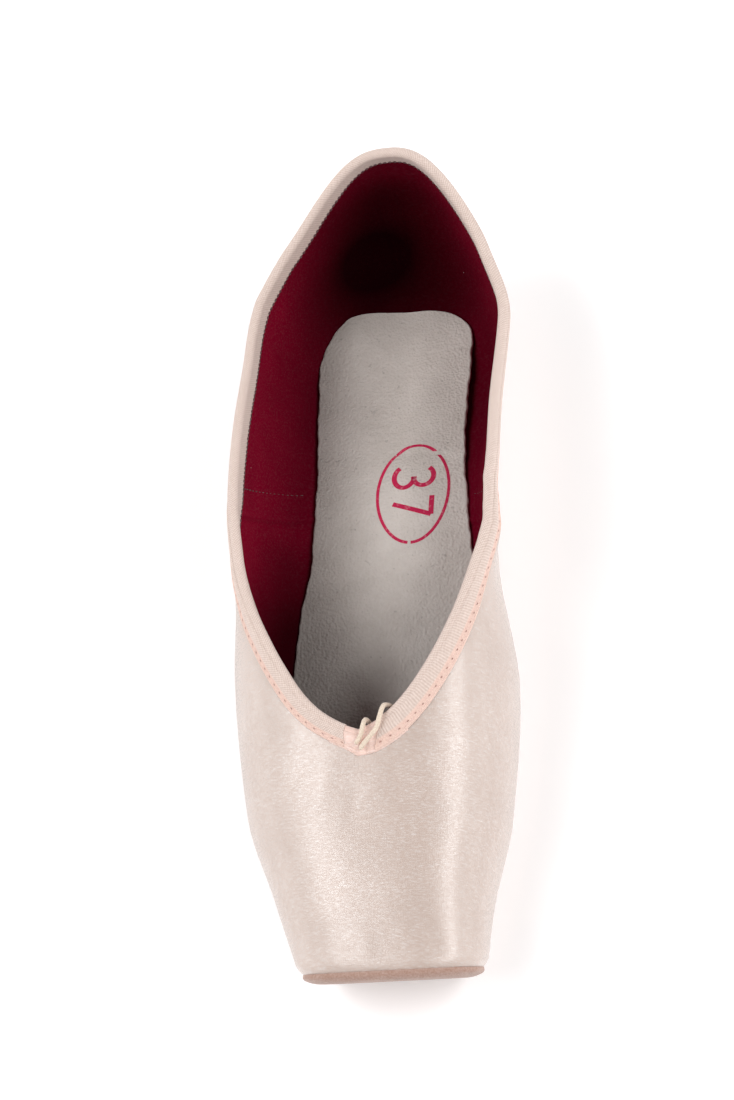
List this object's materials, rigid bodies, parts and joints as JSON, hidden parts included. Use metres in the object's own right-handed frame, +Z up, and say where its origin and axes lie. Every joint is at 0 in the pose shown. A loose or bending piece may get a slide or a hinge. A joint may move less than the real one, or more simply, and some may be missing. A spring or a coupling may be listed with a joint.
{
  "type": "pointe shoe",
  "caption": "Satin ballet shoe with a stiffened flat-tipped toe box, V-shaped throat, drawstring casing and narrow leather sole.",
  "frame": {"origin": "on the floor under the middle of the shoe, which stands on its sole", "axes": "+Z up, toe at -Y, heel at +Y, +X to the wearer's left side of the shoe"},
  "size_m": [0.076, 0.2355, 0.0646],
  "materials": {
    "satin": "pale pink satin with a soft lengthwise sheen",
    "sole_leather": "tan, lightly buffed",
    "insole_leather": "grey-white, fine grain",
    "platform_suede": "beige suede nap",
    "casing_tape": "pale pink woven cotton tape",
    "facing_satin": "pink facing satin",
    "drawstring_cotton": "beige cotton cord"
  },
  "bodies": {
    "root": {"upper": "satin", "outsole": "sole_leather", "insole": "insole_leather", "platform_patch": "platform_suede", "casing": "casing_tape", "throat_facing": "facing_satin", "drawstring_left": "drawstring_cotton", "drawstring_right": "drawstring_cotton"}
  },
  "joints": []
}
